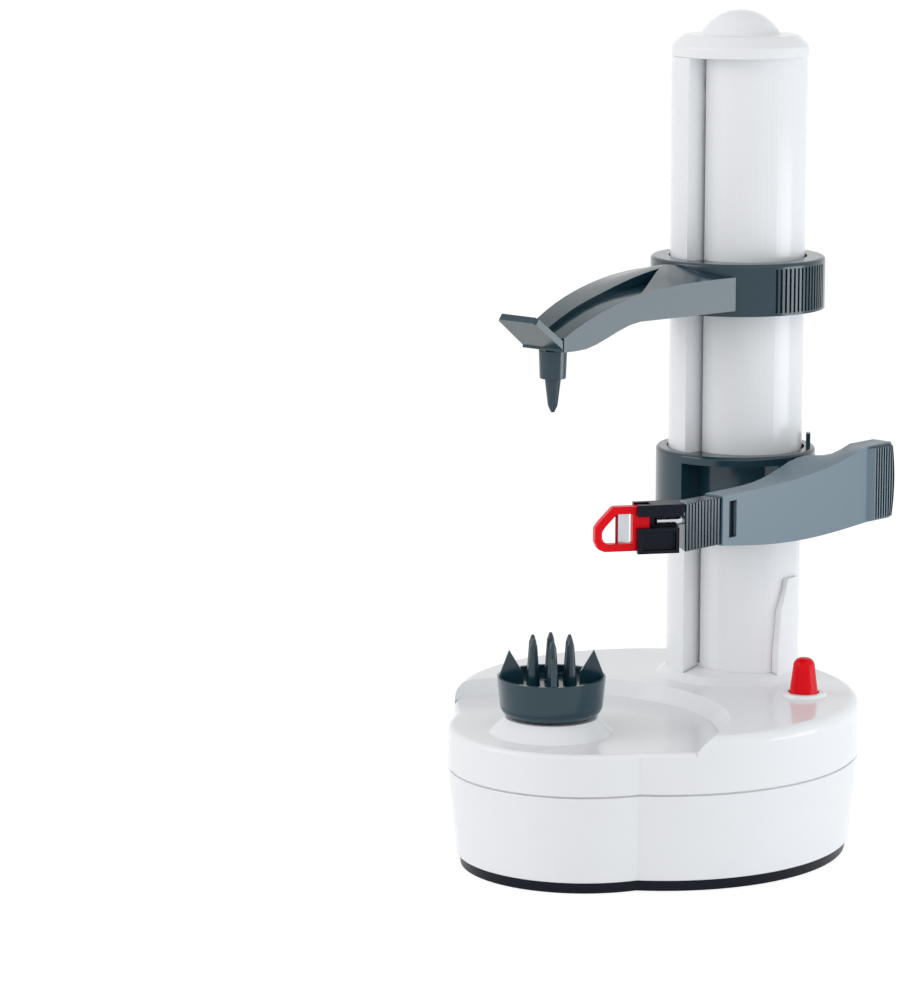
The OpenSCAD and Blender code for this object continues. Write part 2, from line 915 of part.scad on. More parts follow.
// Sloped ledge that closes the lower end of the recess
module recess_ledge() {
  far = 2 * col_r;
  translate([0, 0, foot_top])
    difference() {
      intersection() {
        cylinder(r1 = col_r, r2 = col_r - 5 * ledge_h, h = ledge_h);
        translate([recess_x - eps, -far, 0])
          cube([far, far + lip_end, ledge_h]);
      }
      translate([0, 0, -eps])
        at_core()
          cylinder(r = core_r + slack, h = ledge_h + 2 * eps);
    }
}

module column_shell() {
  color(white) {
    translate([0, 0, foot_top])
      linear_extrude(col_top - foot_top)
        column_plan();
    recess_ledge();
    difference() {
      intersection() {
        translate([0, 0, foot_top])
          cylinder(r = col_r, h = cam_top - foot_top);
        rotate([90, 0, 90])
          linear_extrude(2 * col_r)
            cam_profile();
      }
      at_core()
        cylinder(r = core_r + slack, h = cam_top + eps);
    }
  }
}

// Core: a tube beside the recess, slotted in its corner, on a narrower neck through the deck
module column_core() {
  slot_low = foot_top + col_wall + eps;
  color(white)
    difference() {
      at_core() {
        translate([0, 0, foot_top])
          tube(core_r, core_in, col_top - foot_top);
        translate([0, 0, foot_top])
          tube(core_r, neck_r - col_wall, col_wall);
        translate([0, 0, deck_roof - 4])
          tube(neck_r, neck_r - col_wall, foot_top + col_wall - deck_roof + 4);
      }
      translate([recess_x, -2 * core_r, slot_low])
        cube([slot_w, 2 * core_r, col_top - slot_low + eps]);
    }
}

module column_cap() {
  band_top = col_top + cap_band;
  ball_r = (dome_r * dome_r + dome_h * dome_h) / (2 * dome_h);
  color(white)
    union() {
      rotate_extrude()
        polygon([[0, col_top], [col_r, col_top], [col_r, band_top - cap_slope_h], [col_r - cap_slope_w, band_top],
                 [0, band_top]]);
      at_core()
        translate([0, 0, col_top - 6])
          cylinder(r = core_in - slack, h = 6 + eps);
      intersection() {
        translate([0, 0, band_top + dome_h - ball_r])
          sphere(r = ball_r);
        translate([0, 0, band_top - eps])
          cylinder(r = dome_r + eps, h = dome_h + 2 * eps);
      }
    }
}

module top_bearing() {
  color(nylon)
    translate([0, 0, col_top - screw_drop - bearing_h])
      difference() {
        at_core()
          cylinder(r = core_in - slack, h = bearing_h);
        translate([0, 0, -eps])
          cylinder(r = screw_r + run, h = bearing_h + 2 * eps);
      }
}

module power_button() {
  top_r = button_r * 0.74;
  color(red)
    translate([button_x, -button_y, 0]) {
      translate([0, 0, flange_z])
        cylinder(r = button_r, h = deck_h - flange_z);
      translate([0, 0, deck_h])
        rotate_extrude()
          polygon(concat([[0, 0], [button_r, 0]], quarter(top_r - 3, button_h - 3, 3), [[0, button_h]]));
      translate([0, 0, flange_z])
        cylinder(r = button_r + 2, h = flange_t);
      translate([0, 0, stem_z])
        cylinder(r = 2, h = flange_z - stem_z + eps);
    }
}

module power_switch() {
  color(black)
    translate([button_x, -button_y, 0])
      translate([-6, -4.5, frame_z])
        cube([12, 9, switch_top - frame_z]);
}

// Ring of a round wire along a coil, square to the run of the wire
function coil_ring(r, a, z, wire, sides) =
  [for (s = [0:sides - 1])
    let (b = 360 * s / sides)
    [(r + wire * cos(b)) * cos(a), (r + wire * cos(b)) * sin(a), z + wire * sin(b)]];

// Faces of a tube made of rings, closed at both ends
function tube_faces(rings, sides) = concat(
  [for (i = [0:rings - 2], s = [0:sides - 1])
    let (p = i * sides + s, q = i * sides + (s + 1) % sides)
    each [[p, p + sides, q], [q, p + sides, q + sides]]],
  [for (s = [1:sides - 2]) [0, s, s + 1]],
  [for (s = [1:sides - 2]) let (last = (rings - 1) * sides) [last, last + s + 1, last + s]]);

// Coil spring of round wire
module coil(r, wire, turns, h) {
  steps = 8;
  sides = 6;
  n = round(turns * steps);
  echo(spring_gap = h / turns - 2 * wire);
  polyhedron([for (i = [0:n]) each coil_ring(r, 360 * i / steps, h * i / n, wire, sides)],
             tube_faces(n + 1, sides));
}

module button_spring() {
  wire = 0.3;
  low = switch_top + 0.1 + wire;
  high = flange_z - wire - 0.1;
  color(steel)
    translate([button_x, -button_y, low])
      coil(3.6, wire, 4, high - low);
}

// Ring that rides on the column
module ring_band(z, h, r_out) {
  round_r = 1.2;
  translate([0, 0, z])
    rotate_extrude(convexity = 4)
      polygon(concat([[ring_in, 0], [r_out, 0]], quarter(r_out - round_r, h - round_r, round_r), [[ring_in, h]]));
}

// Key on the inside of a ring, which runs in the column's recess
module ring_key(z, h) {
  translate([0, 0, z])
    linear_extrude(h)
      intersection() {
        difference() {
          circle(r = ring_in + eps);
          at_core()
            circle(r = core_r + free);
        }
        translate([recess_x + free, -2 * col_r])
          square([2 * col_r, 2 * col_r - cam_reach - free]);
      }
}

// Deep panel in the front of the carriage ring, below its rim: only the key's skin is left behind it
module ring_panel() {
  rim = 3.4;
  translate([0, 0, carriage_z + rim])
    linear_extrude(carriage_h - 2 * rim)
      intersection() {
        difference() {
          circle(r = ring_out + eps);
          at_core()
            circle(r = core_r + free + key_skin);
        }
        translate([recess_x + free + key_skin, -2 * ring_out])
          square([2 * ring_out, 2 * ring_out - ear_r - ring_t]);
      }
}

// Ear that carries the lever's pivot pin, with the pin's hole
module pivot_ear(z) {
  difference() {
    union() {
      translate([pivot_x, pivot_y, z])
        cylinder(r = ear_r, h = ear_t);
      difference() {
        translate([ring_in + 1, pivot_y - ear_r - 3, z])
          linear_extrude(ear_t)
            polygon([[0, 0], [pivot_x - ring_in - 1, 3], [pivot_x - ring_in - 1, 3 + 2 * ear_r], [0, 6 + 2 * ear_r]]);
        translate([0, 0, z - eps])
          cylinder(r = ring_in + 0.5, h = ear_t + 2 * eps);
      }
    }
    translate([pivot_x, pivot_y, z - eps])
      cylinder(r = pin_pivot_r, h = ear_t + 2 * eps);
  }
}

module carriage_ring() {
  tab_a = 38;
  color(slate) {
    difference() {
      union() {
        ring_band(carriage_z, carriage_h, ring_out);
        ring_key(carriage_z + key_end, carriage_h - 2 * key_end);
      }
      ring_panel();
    }
    translate([web_x - web_t / 2, web_y - 1.5, key_z])
      cube([web_t, 1.5 - web_y - nut_r + 2.5, key_h]);
    pivot_ear(ear_low);
    pivot_ear(ear_high);
    rotate([0, 0, tab_a])
      translate([ring_in + 0.6, -2, carriage_z + carriage_h - 3])
        cube([1.6, 4, 8]);
  }
}

// Nut on the lead screw, slotted for the ring's web
module lead_nut() {
  color(nylon)
    difference() {
      translate([0, 0, key_z])
        tube(nut_r, screw_r + run, key_h);
      translate([web_x - web_t / 2 - 0.05, -nut_r - eps, key_z - eps])
        cube([web_t + 0.1, 3 + eps, key_h + 2 * eps]);
    }
}

module pivot_pin() {
  color(steel)
    translate([pivot_x, pivot_y, ear_low]) {
      cylinder(r = pin_pivot_r, h = ear_high + ear_t - ear_low);
      translate([0, 0, ear_high + ear_t - ear_low])
        cylinder(r = pin_pivot_r + 1.2, h = 0.8);
    }
}

module lever_spring() {
  wire = 0.3;
  low = ear_low + ear_t + wire + 0.2;
  high = hub_low - wire - 0.2;
  color(steel)
    translate([pivot_x, pivot_y, low])
      coil(3.2, wire, 3, high - low);
}

// Edges of the lever from its front end to its thumb pad, as points along Y and away from its middle;
// the inner upper edge has a hump, so that the top slopes
function lever_y(t) = -lever_front + (lever_front + lever_back - thumb_len) * t;
function lever_hump(t) = lever_raise * pow(sin(180 * pow(t, 1.5)), 4);
function lever_top(hump) =
  let (n = 16, half = lever_front_h / 2)
  concat(
    [for (i = [0:n]) let (t = i / n) [lever_y(t), half + lever_rise * pow(t, 3.2) + hump * lever_hump(t)]],
    [[lever_back - 1, half + lever_rise], [lever_back, half + lever_rise - 2]]);
function lever_low() =
  let (n = 16, half = lever_front_h / 2)
  concat(
    [for (i = [0:n]) let (t = i / n) [lever_y(t), half + lever_drop * t + lever_sag * sin(180 * t)]],
    [[lever_back - 1, half + lever_drop], [lever_back, half + lever_drop - 2]]);

// Two triangles between the neighbours of two rows of points
function strip(a, b, n) = [for (i = [0:n - 2]) each [[a + i, b + i, a + i + 1], [a + i + 1, b + i, b + i + 1]]];

// Body of the lever: a loft from its inner outline to its outer one
module lever_body() {
  inner = lever_top(1);
  outer = lever_top(0);
  low = lever_low();
  n = len(outer);
  points = concat(
    [for (p = inner) [0, p[0], p[1]]], [for (p = low) [0, p[0], -p[1]]],
    [for (p = outer) [lever_t, p[0], p[1]]], [for (p = low) [lever_t, p[0], -p[1]]]);
  ends = [for (e = [0, n - 1]) each e == 0
    ? [[0, 2 * n, n], [n, 2 * n, 3 * n]]
    : [[e, n + e, 2 * n + e], [n + e, 3 * n + e, 2 * n + e]]];
  polyhedron(points, concat(strip(n, 0, n), strip(2 * n, 3 * n, n), strip(0, 2 * n, n), strip(3 * n, n, n), ends));
}

// Thumb pad: a block that stands out from the lever, bevelled towards the front and ridged
module thumb_pad() {
  bevel = pad_out * 1.2;
  pitch = (thumb_len - bevel - 1) / thumb_ridges;
  low = lever_mid - lever_front_h / 2 - lever_drop + 1;
  difference() {
    translate([lever_x + lever_t - eps, pivot_y + lever_back - thumb_len, low])
      linear_extrude(lever_back_h - 2)
        polygon([[0, 0], [eps, 0], [eps + pad_out, bevel], [eps + pad_out, thumb_len - 1], [eps + pad_out - 1, thumb_len],
                 [0, thumb_len]]);
    for (i = [0:thumb_ridges - 1])
      translate([lever_x + lever_t + pad_out - 0.8, pivot_y + lever_back - thumb_len + bevel + (i + 0.45) * pitch, low - eps])
        cube([0.8 + eps, pitch * 0.4, lever_back_h]);
  }
}

// Lever with a hub on its pivot, a socket for the blade lock and a ridged thumb pad
module peeling_lever() {
  pocket_h = lock_h - lock_step;
  color(grey)
    difference() {
      union() {
        translate([lever_x, pivot_y, lever_mid])
          lever_body();
        thumb_pad();
        translate([pivot_x, pivot_y, hub_low])
          cylinder(r = ear_r, h = hub_high - hub_low);
        translate([pivot_x, pivot_y - ear_r, hub_low])
          cube([lever_in + 0.5, 2 * ear_r, hub_high - hub_low]);
      }
      translate([pivot_x, pivot_y, hub_low - eps])
        cylinder(r = pin_pivot_r + run, h = hub_high - hub_low + 2 * eps);
      translate([lever_x + lever_skin, lever_end - eps, lever_mid - pocket_h / 2])
        cube([lever_t - 2 * lever_skin, tongue_len + 1 + eps, pocket_h]);
      translate([lever_x + lever_t - lever_skin - eps, lever_end + lever_slot_y, lever_mid - pocket_h / 2])
        cube([lever_skin + 2 * eps, lever_slot_w, pocket_h]);
    }
}

// Lock that plugs into the lever's front end, with ridges and the bore for the swivel pin
module blade_lock() {
  tongue_t = lever_t - 2 * lever_skin - 2 * slack;
  tongue_h = lock_h - lock_step - 2 * slack;
  body_t = lever_t - 1;
  pitch = lock_len / lock_ridges;
  ridge_d = 0.8;
  color(slate)
    difference() {
      union() {
        translate([lock_x - body_t / 2, lock_end, lever_mid - lock_h / 2])
          cube([body_t, lock_len - slack, lock_h]);
        translate([lock_x - tongue_t / 2, lever_end - 1, lever_mid - tongue_h / 2])
          cube([tongue_t, tongue_len + 1, tongue_h]);
      }
      for (i = [0:lock_ridges - 1], side = [body_t / 2 - ridge_d, -body_t / 2 - eps])
        translate([lock_x + side, lock_end + (i + 0.3) * pitch, lever_mid - lock_h / 2 - eps])
          cube([ridge_d + eps, pitch * 0.4, lock_h + 2 * eps]);
      at_head()
        translate([-swivel_in, 0, swivel_z])
          rotate([0, 90, 0])
            cylinder(r = swivel_r, h = swivel_in + 2);
      at_head()
        translate([-0.4, -10, -head_h])
          cube([10, 20, 2 * head_h]);
    }
}

// Frame of the blade head: X runs out along the head, Y is away from the food
module at_head() {
  translate([lock_x, lock_end + 2.6, lever_mid])
    rotate([0, 0, -90 - head_angle])
      children();
}

module swivel_pin() {
  color(steel)
    at_head()
      translate([-swivel_in, 0, swivel_z])
        rotate([0, 90, 0])
          cylinder(r = swivel_r, h = swivel_in + swivel_out);
}

// Thickness of the blade head
head_t = 9;

// Black frame of the blade head: a bar above, a box with a window below and the swivel's bore between
module blade_frame() {
  len = head_len * 0.52;
  bar_h = 4;
  box_gap = 1.8;
  box_h = head_h * 0.52;
  color(black)
    at_head()
      difference() {
        union() {
          translate([box_gap, -head_t / 2, -head_h / 2])
            cube([len + 0.3 - box_gap, head_t, box_h]);
          translate([0.3, -head_t / 2, head_h / 2 - bar_h])
            cube([len, head_t, bar_h]);
          translate([box_gap, -head_t / 2, -head_h / 2 + 1])
            cube([len + 0.3 - box_gap, head_t * 0.62, head_h - 2]);
        }
        translate([box_gap + 1.2, head_t / 2 - 3, -head_h / 2 + 1.2])
          cube([len - box_gap - 2.4, 3 + eps, box_h - 2.4]);
        translate([0, 0, swivel_z])
          rotate([0, 90, 0])
            cylinder(r = swivel_r + run, h = 10);
        translate([len - 4.7, -guard_t / 2 - slack, -head_h])
          cube([6, guard_t + 2 * slack, 2 * head_h]);
      }
}

guard_t = 4.2;
guard_rail = 2.6;
guard_slope = 6.5;

// Outline of the guard, seen from outside and set back by an inset: its upper rail slopes down to the tip
module guard_shape(x0, inset) {
  half = head_h / 2 - 0.7 - inset;
  x1 = head_len - inset;
  corner = 3.5 - inset / 2;
  tip = 0.6 - inset / 2;
  polygon([[x0, -half], [x1 - corner, -half], [x1 - corner * 0.3, -half + corner * 0.3], [x1, -half + corner],
           [x1, tip], [x1 - 1.5, tip + 2], [x1 - guard_slope + inset / 2, half], [x0, half]]);
}

// Red guard: a loop around the slot that the peel leaves through
module blade_guard() {
  x0 = head_len * 0.52 - 4.4;
  color(red)
    at_head()
      rotate([90, 0, 0])
        translate([0, 0, -guard_t / 2])
          linear_extrude(guard_t)
            difference() {
              guard_shape(x0, 0);
              guard_shape(x0 + 6, guard_rail);
            }
}

// Steel blade across the guard's slot
module blade() {
  span = head_h - 1.4 - 2 * guard_rail;
  color(steel)
    at_head()
      translate([head_len - guard_rail - guard_slope - 3.2, 0, -span / 2])
        linear_extrude(span)
          polygon([[0, -0.2], [4.2, -1.5], [4.4, -1.5], [3.6, -0.6], [0.4, 0.5], [0, 0.5]]);
}

// Heights of the arm's back and underside along its length
function arm_back(t) = holder_top - arm_shoulder - arm_drop * pow(t, 3);
function arm_ease(t) = let (s = min(max((t - 0.55) / 0.37, 0), 1)) s * s * (3 - 2 * s);
function arm_belly(t) = holder_z + arm_lift - belly_drop * arm_ease(t);
function arm_y(t) = -arm_root - (arm_end - arm_root) * t;

// Side view of the holder arm from the ring to the tip
module arm_side() {
  n = 16;
  polygon(concat([for (i = [0:n]) [arm_y(i / n), arm_back(i / n)]],
                 [for (i = [n:-1:0]) [arm_y(i / n), arm_belly(i / n)]]));
}

// Plan of the holder arm: a wedge with flat sides
module arm_plan() {
  polygon([[-arm_root_w / 2, -arm_root], [arm_root_w / 2, -arm_root], [arm_w / 2, -arm_end], [-arm_w / 2, -arm_end]]);
}

// Channel along the right half of the arm's back, pointed towards the ring and open at the tip
module arm_channel() {
  n = 10;
  t0 = 0.15;
  near_t = (spindle_off - channel_near - arm_root) / (arm_end - arm_root);
  near_x = arm_root_w / 2 + (arm_w - arm_root_w) / 2 * near_t - channel_rim;
  line = [for (i = [0:n]) let (t = t0 + (1.02 - t0) * i / n) [arm_y(t), arm_back(t) - channel_d]];
  intersection() {
    translate([-arm_w, 0, 0])
      rotate([90, 0, 90])
        linear_extrude(arm_root_w + arm_w)
          polygon(concat(line, [[line[n][0], holder_top], [line[0][0], holder_top]]));
    linear_extrude(holder_top + 1)
      polygon([[-channel_in, channel_far - spindle_off], [near_x, channel_near - spindle_off],
               [arm_w / 2 - channel_rim, -arm_end - 1], [-channel_in, -arm_end - 1]]);
  }
}

// Upright grooves of a release grip in the side of the ring
module release_grip() {
  pitch = 2 * grip_turn / grip_ridges;
  groove_w = 0.9;
  groove_d = 0.8;
  for (i = [0:grip_ridges - 1])
    rotate([0, 0, (i + 0.5) * pitch - grip_turn])
      translate([holder_out - groove_d, -groove_w / 2, holder_z + 1])
        cube([groove_d + 1, groove_w, holder_h - 3]);
}

module holder_arm() {
  color(slate)
    difference() {
      union() {
        ring_band(holder_z, holder_h, holder_out);
        ring_key(holder_z + key_end, holder_h - 2 * key_end);
        difference() {
          intersection() {
            translate([-arm_root_w, 0, 0])
              rotate([90, 0, 90])
                linear_extrude(2 * arm_root_w)
                  arm_side();
            linear_extrude(holder_top + 1)
              arm_plan();
          }
          cylinder(r = ring_in + 0.5, h = holder_top + 1);
          arm_channel();
        }
        translate([0, 0.8 - arm_end, tip_z + 0.2])
          rotate([-tab_turn, 0, 0])
            thumb_tab();
      }
      for (s = [0, 1])
        mirror([s, 0, 0])
          release_grip();
      at_spindle()
        translate([0, 0, tip_z - eps])
          cylinder(r = spigot_r + run, h = spigot_top + 0.3 - tip_z + eps);
      at_spindle()
        translate([0, 0, tip_z - eps])
          cylinder(r = spigot_r + 1.8, h = 1.2 + eps);
    }
}

// Tab at the tip, to lift the arm with a thumb
module thumb_tab() {
  half = arm_w / 2 - 0.2;
  linear_extrude(tab_t)
    polygon([[-half, 0], [-half + tab_taper - 1, -tab_len + 1], [-half + tab_taper, -tab_len],
             [half - tab_taper, -tab_len], [half - tab_taper + 1, -tab_len + 1], [half, 0]]);
}

// Pin under the arm's tip: a spigot in the arm, a collar and a mildly tapered point
module food_pin() {
  low = tip_z - free - collar_h;
  point_r = pin_r * 0.6;
  point_h = 2.5;
  color(slate)
    at_spindle()
      union() {
        translate([0, 0, low])
          cylinder(r1 = collar_r - 0.4, r2 = collar_r, h = collar_h);
        translate([0, 0, low - pin_len + point_h])
          cylinder(r1 = point_r, r2 = pin_r, h = pin_len - point_h);
        translate([0, 0, low - pin_len])
          cylinder(r1 = 0.6, r2 = point_r, h = point_h);
        cylinder_from(low + collar_h - eps, spigot_top, spigot_r);
      }
}

// Upright cylinder between two heights
module cylinder_from(z0, z1, r) {
  translate([0, 0, z0])
    cylinder(r = r, h = z1 - z0);
}

// Clip in the arm's recess that keeps the pin in the tip
module pin_clip() {
  color(steel)
    at_spindle()
      translate([0, 0, tip_z + 0.2])
        tube(spigot_r + 1.5, spigot_r, 0.8);
}

lower_housing();
upper_housing();
sole();
rubber_pads();
battery_door();
housing_screws();
batteries();
battery_contacts();
gear_frame();
gear_axles();
axle_clips();
motor();
power_switch();
spindle_bush();
frame_bushes();
column_shell();
column_core();
column_cap();
top_bearing();
motor_shaft();
motor_pinion();
reduction_gear();
idler_gear();
lead_screw();
screw_gear();
spindle_shaft();
spindle_gear();
food_cup();
power_button();
button_spring();
carriage_ring();
lead_nut();
pivot_pin();
lever_spring();
peeling_lever();
blade_lock();
swivel_pin();
blade_frame();
blade_guard();
blade();
holder_arm();
food_pin();
pin_clip();
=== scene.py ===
"""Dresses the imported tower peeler: procedural materials, softened edges, fine detail, studio and camera.

Lengths in the script are millimetres, apart from those of the studio and the camera, which are metres.
"""

import json
import math

import bmesh
import bpy
from mathutils import Matrix, Vector


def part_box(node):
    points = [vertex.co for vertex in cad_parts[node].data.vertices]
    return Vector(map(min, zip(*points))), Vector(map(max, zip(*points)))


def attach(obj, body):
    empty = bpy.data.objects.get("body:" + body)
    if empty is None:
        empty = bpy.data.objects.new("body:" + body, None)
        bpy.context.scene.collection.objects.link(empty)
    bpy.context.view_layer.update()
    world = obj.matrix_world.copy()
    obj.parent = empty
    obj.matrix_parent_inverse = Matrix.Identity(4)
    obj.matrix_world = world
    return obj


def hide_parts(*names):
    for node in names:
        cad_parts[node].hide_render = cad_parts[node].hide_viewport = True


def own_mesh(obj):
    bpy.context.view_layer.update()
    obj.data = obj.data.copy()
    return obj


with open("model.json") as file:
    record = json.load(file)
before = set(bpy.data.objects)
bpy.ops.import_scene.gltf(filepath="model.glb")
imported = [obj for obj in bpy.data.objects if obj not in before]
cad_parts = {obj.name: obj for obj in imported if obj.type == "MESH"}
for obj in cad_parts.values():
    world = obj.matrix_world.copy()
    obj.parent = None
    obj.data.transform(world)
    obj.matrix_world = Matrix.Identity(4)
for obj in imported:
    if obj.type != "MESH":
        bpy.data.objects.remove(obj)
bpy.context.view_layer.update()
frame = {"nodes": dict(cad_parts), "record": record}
nodes = frame["nodes"]
body_of = {node: body for body, held in frame["record"]["behaviour"]["bodies"].items() for node in held}
slot_of = {part["node"]: part["material_slot"] for part in frame["record"]["subparts"]}
scene = bpy.context.scene
MM = 0.001
X, Y, Z = range(3)


# Materials

FINISH = {}
# Colour sockets of a mix node, which share their names with its number sockets
MIX_A, MIX_B, MIX_RESULT = 6, 7, 2


def linear(r, g, b):
    """Linear colour of a display colour from 0 to 255."""

    def one(c):
        c /= 255
        return c / 12.92 if c <= 0.04045 else ((c + 0.055) / 1.055) ** 2.4

    return (one(r), one(g), one(b), 1.0)


def tint(color, gain):
    return tuple(min(1.0, c * gain) for c in color[:3]) + (1.0,)


class Nodes:
    """Builds a material's node tree with short calls."""

    def __init__(self, name):
        self.material = bpy.data.materials.new(name)
        self.material.use_nodes = True
        self.tree = self.material.node_tree
        self.shader = self.tree.nodes["Principled BSDF"]
        self.place = self.add("ShaderNodeTexCoord").outputs["Object"]

    def add(self, kind, **values):
        node = self.tree.nodes.new(kind)
        for key, value in values.items():
            setattr(node, key, value)
        return node

    def link(self, start, end):
        self.tree.links.new(start, end)

    def feed(self, value, socket):
        """Links a value to one of the shader's sockets."""
        self.link(value, self.shader.inputs[socket])

    def set(self, **values):
        """Sets constants on the shader's own sockets."""
        for socket, value in values.items():
            self.shader.inputs[socket].default_value = value

    def scaled(self, x, y, z):
        mapping = self.add("ShaderNodeMapping")
        mapping.inputs["Scale"].default_value = (x, y, z)
        self.link(self.place, mapping.inputs["Vector"])
        return mapping.outputs["Vector"]

    def noise(self, per_metre, detail, rough=0.55, vector=None):
        node = self.add("ShaderNodeTexNoise")
        node.inputs["Scale"].default_value = per_metre
        node.inputs["Detail"].default_value = detail
        node.inputs["Roughness"].default_value = rough
        self.link(vector or self.place, node.inputs["Vector"])
        return node.outputs["Fac"]

    def spread(self, value, low, high, start=0.3, end=0.7):
        """Low where the value is at start, high where it is at end; most noise lies in the default range."""
        node = self.add("ShaderNodeMapRange")
        self.link(value, node.inputs["Value"])
        for key, number in (("From Min", start), ("From Max", end), ("To Min", low), ("To Max", high)):
            node.inputs[key].default_value = number
        return node.outputs["Result"]

    def clouds(self, per_metre, detail):
        """Noise that runs from 0 to 1."""
        return self.spread(self.noise(per_metre, detail), 0.0, 1.0)

    def mix(self, share, a, b):
        node = self.add("ShaderNodeMix", data_type="RGBA")
        self.link(share, node.inputs["Factor"])
        for socket, value in ((node.inputs[MIX_A], a), (node.inputs[MIX_B], b)):
            if isinstance(value, tuple):
                socket.default_value = value
            else:
                self.link(value, socket)
        return node.outputs[MIX_RESULT]

    def bump(self, height, depth, strength=0.2):
        node = self.add("ShaderNodeBump")
        node.inputs["Strength"].default_value = strength
        node.inputs["Distance"].default_value = depth * MM
        self.link(height, node.inputs["Height"])
        self.feed(node.outputs["Normal"], "Normal")


def plastic(slot, color, rough, ior=1.46, grain=1400, depth=0.01, drift=0.03, painted_shade_share=0.4, reach=1.4):
    """Moulded plastic: faint drift of colour, crevices darkened as painted shade, slightly uneven gloss, and
    fine surface grain.

    drift is the share by which the colour varies, gloom the share of it that is left in the painted shade of
    a crevice, reach the size of such a crevice, and grain and depth the grains in a metre and their height.
    """
    m = Nodes(slot)
    face = m.mix(m.clouds(per_metre=28, detail=4), tint(color, 1 - drift), tint(color, 1 + drift))
    # Ambient occlusion darkens the colour in crevices and seams: this is painted shade
    crevice = m.add("ShaderNodeAmbientOcclusion", only_local=True, samples=8)
    crevice.inputs["Distance"].default_value = reach * MM
    bare = m.spread(crevice.outputs["AO"], 0.0, 1.0, start=0.3, end=0.85)
    m.feed(m.mix(bare, tint(color, painted_shade_share), face), "Base Color")
    m.feed(m.spread(m.noise(per_metre=420, detail=3), rough * 0.93, rough * 1.1), "Roughness")
    m.bump(m.noise(grain, detail=2), depth)
    m.set(IOR=ior)
    FINISH[slot] = m.material


def metal(slot, color, rough, stretch):
    """Drawn or brushed metal: fine streaks along the stretched axis and slightly dulled patches."""
    m = Nodes(slot)
    streak = m.noise(per_metre=900, detail=3, rough=0.6, vector=m.scaled(*stretch))
    dull = m.clouds(per_metre=60, detail=3)
    m.feed(m.mix(dull, tint(color, 0.9), tint(color, 1.08)), "Base Color")
    m.feed(m.spread(streak, rough * 0.7, rough * 1.4), "Roughness")
    m.bump(streak, depth=0.02)
    m.set(Metallic=1.0)
    FINISH[slot] = m.material


def cell_jacket(slot):
    """Jacket of the cells: grey up to a third of their length and brass-coloured beyond it."""
    share, edge = 0.33, 0.2
    m = Nodes(slot)
    split = m.add("ShaderNodeSeparateXYZ")
    m.link(m.place, split.inputs["Vector"])
    lo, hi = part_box("batteries")
    third = lo.y + (hi.y - lo.y) * share
    beyond = m.spread(split.outputs["Y"], 0.0, 1.0, start=third - edge * MM, end=third + edge * MM)
    cloud = m.clouds(per_metre=90, detail=4)
    sleeve = m.mix(cloud, linear(88, 92, 98), linear(102, 106, 112))
    m.feed(m.mix(beyond, sleeve, linear(176, 150, 84)), "Base Color")
    m.feed(m.spread(m.noise(per_metre=300, detail=3), 0.28, 0.42), "Roughness")
    m.set(Metallic=0.4)
    FINISH[slot] = m.material


# Each plastic below paints shade into its own crevices; the lever's grey plastic paints the deepest and
# widest, in its thumb pad's grooves
plastic("white_plastic", linear(236, 238, 241), 0.16, ior=1.38, grain=900, drift=0.008)
plastic("slate_plastic", linear(24, 54, 66), 0.17, ior=1.5, grain=1100, drift=0.05)
plastic(
    "grey_plastic", linear(106, 124, 136), 0.3,
    ior=1.42, grain=2600, depth=0.002, drift=0.02, painted_shade_share=0.1, reach=2.5,
)
plastic("black_plastic", linear(10, 15, 30), 0.34, ior=1.25, grain=1500, drift=0.1)
plastic("red_plastic", linear(226, 5, 24), 0.26, ior=1.22, grain=1200, drift=0.04)
plastic("nylon", linear(232, 228, 214), 0.45, grain=1800)
plastic("rubber", linear(26, 26, 28), 0.75, grain=2200, depth=0.06, drift=0.12)
metal("steel", linear(196, 199, 204), 0.24, stretch=(1, 1, 0.05))
metal("brass", linear(206, 170, 92), 0.3, stretch=(0.2, 0.2, 1))
cell_jacket("cell_jacket")


def finish(obj, slot):
    obj.data.materials.clear()
    obj.data.materials.append(FINISH[slot])


for node, obj in nodes.items():
    finish(obj, slot_of[node])


# Shapes of single pieces


def ramp(value, start, end):
    """0 at start, 1 at end, with a soft step between."""
    t = min(max((value - start) / (end - start), 0.0), 1.0)
    return t * t * (3 - 2 * t)


def cut(bm, axis, place, chosen):
    """Cuts the faces that chosen takes, by their middle, with a plane across an axis."""
    faces = [f for f in bm.faces if chosen(f.calc_center_median() / MM)]
    edges = dict.fromkeys(e for f in faces for e in f.edges)
    verts = dict.fromkeys(v for f in faces for v in f.verts)
    point, normal = Vector((0, 0, 0)), Vector((0, 0, 0))
    point[axis] = place * MM
    normal[axis] = 1
    bmesh.ops.bisect_plane(bm, geom=[*verts, *edges, *faces], dist=1e-7, plane_co=point, plane_no=normal)


def even_top(bm, inner, outer, end):
    """Fills the top between the lever's inner and outer face with a smoothed grid, up to its end."""
    near, columns, passes, least_rise = 0.02, 6, 40, 0.25

    def crosses(e):
        x = sorted(v.co.x / MM for v in e.verts)
        level = all(f.normal.z > least_rise for f in e.link_faces)
        return level and abs(x[0] - inner) < near and abs(x[1] - outer) < near

    edges = [e for e in bm.edges if crosses(e)]
    made = bmesh.ops.subdivide_edges(bm, edges=edges, cuts=columns, use_grid_fill=True)
    grid = [v for v in made["geom_inner"] if isinstance(v, bmesh.types.BMVert) and v.co.y / MM < end]
    for _ in range(passes):
        bmesh.ops.smooth_vert(bm, verts=grid, factor=0.5, use_axis_z=True)


